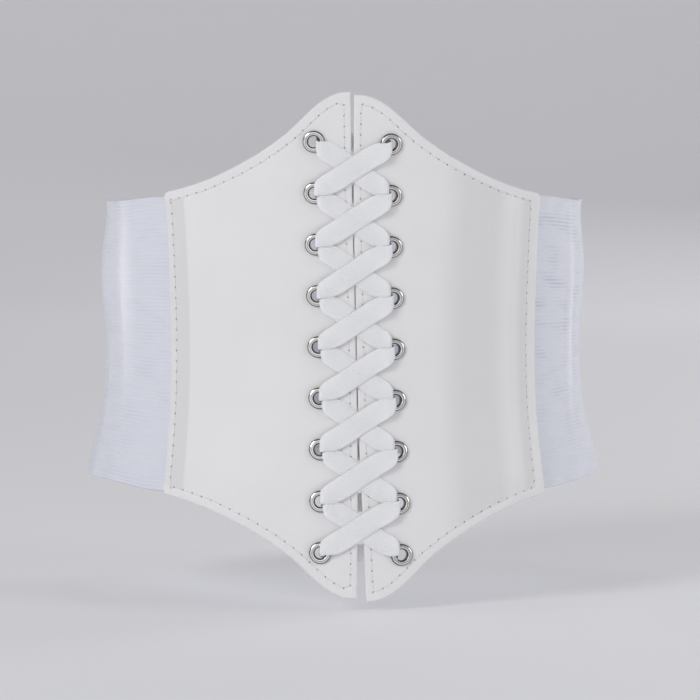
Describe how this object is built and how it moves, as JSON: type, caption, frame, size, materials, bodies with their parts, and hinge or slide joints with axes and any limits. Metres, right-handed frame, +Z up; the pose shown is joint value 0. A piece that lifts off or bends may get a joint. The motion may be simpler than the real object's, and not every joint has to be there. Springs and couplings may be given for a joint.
{
  "type": "corset belt",
  "caption": "Laced corset belt: two pointed front panels, metal eyelets, a flat criss-cross lace and a wide elastic band round the waist.",
  "frame": {"origin": "centre of the waist that the belt goes round, at the middle of the belt's height", "axes": "+Z up along the wearer's body, -Y out of the laced front, +X to the right seen from the front"},
  "size_m": [0.2412, 0.1887, 0.2292],
  "materials": {
    "faux_leather": "smooth satin",
    "elastic_webbing": "fine ribbed",
    "lace_tape": "soft woven",
    "eyelet_metal": "polished nickel"
  },
  "bodies": {
    "root": {"front_panel_left": "faux_leather", "front_panel_right": "faux_leather", "elastic_band_left": "elastic_webbing", "elastic_band_right": "elastic_webbing", "eyelet_left_1": "eyelet_metal", "eyelet_left_2": "eyelet_metal", "eyelet_left_3": "eyelet_metal", "eyelet_left_4": "eyelet_metal", "eyelet_left_5": "eyelet_metal", "eyelet_left_6": "eyelet_metal", "eyelet_left_7": "eyelet_metal", "eyelet_left_8": "eyelet_metal", "eyelet_left_9": "eyelet_metal", "eyelet_right_1": "eyelet_metal", "eyelet_right_2": "eyelet_metal", "eyelet_right_3": "eyelet_metal", "eyelet_right_4": "eyelet_metal", "eyelet_right_5": "eyelet_metal", "eyelet_right_6": "eyelet_metal", "eyelet_right_7": "eyelet_metal", "eyelet_right_8": "eyelet_metal", "eyelet_right_9": "eyelet_metal", "lace": "lace_tape", "back_closure": "faux_leather"}
  },
  "joints": []
}
